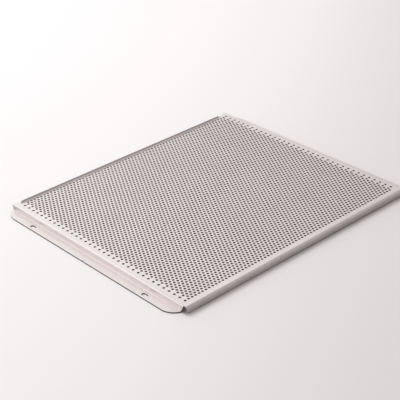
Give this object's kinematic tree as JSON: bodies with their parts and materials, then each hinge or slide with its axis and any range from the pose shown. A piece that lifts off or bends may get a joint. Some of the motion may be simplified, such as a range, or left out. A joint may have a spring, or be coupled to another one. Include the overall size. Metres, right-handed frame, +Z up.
{
  "type": "perforated oven tray",
  "caption": "Perforated aluminium bakery tray folded from one sheet: raised flat deck, front flange, low rear upstand and a stepped, slotted lip at each end.",
  "frame": {"origin": "centre of the tray's outline, on the surface that it stands on", "axes": "+X along the tray towards its right-hand lip, +Y from the turned-down front flange to the rear upstand, +Z up"},
  "size_m": [0.385, 0.32, 0.0115],
  "materials": {
    "deck_sheet": "satin",
    "edge_sheet": "satin"
  },
  "bodies": {
    "root": {"deck_band_1": "deck_sheet", "deck_band_2": "deck_sheet", "deck_band_3": "deck_sheet", "deck_band_4": "deck_sheet", "deck_band_5": "deck_sheet", "deck_band_6": "deck_sheet", "deck_band_7": "deck_sheet", "front_flange": "edge_sheet", "rear_upstand": "edge_sheet", "left_drop": "edge_sheet", "right_drop": "edge_sheet", "left_lip": "edge_sheet", "right_lip": "edge_sheet"}
  },
  "joints": []
}
